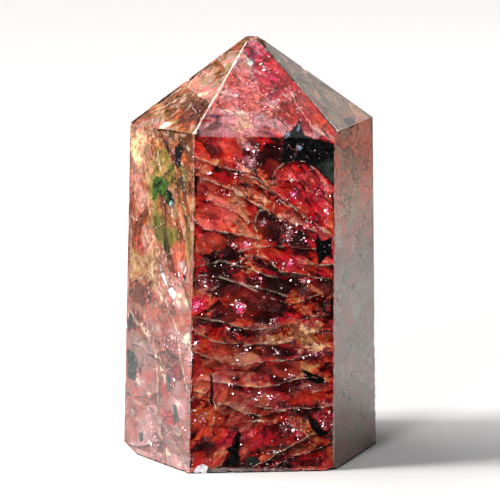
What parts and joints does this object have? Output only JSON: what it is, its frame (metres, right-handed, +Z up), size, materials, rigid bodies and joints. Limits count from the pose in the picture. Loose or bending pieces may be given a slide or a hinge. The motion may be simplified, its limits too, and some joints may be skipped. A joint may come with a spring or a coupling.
{
  "type": "garnet crystal",
  "caption": "Polished six-sided point of garnet-bearing stone that stands upright on its flat base, with a faceted tip and small natural chips.",
  "frame": {"origin": "centre of the bounding box at the flat base that the stone stands on", "axes": "+Z up along the stone from its base to its tip, -Y out of the face that the picture shows broadest"},
  "size_m": [0.0493, 0.0414, 0.08],
  "materials": {
    "garnet_stone": "polished translucent garnet-bearing stone, crimson and salmon with dark grains and pale veins"
  },
  "bodies": {
    "root": {"garnet_point": "garnet_stone"}
  },
  "joints": []
}
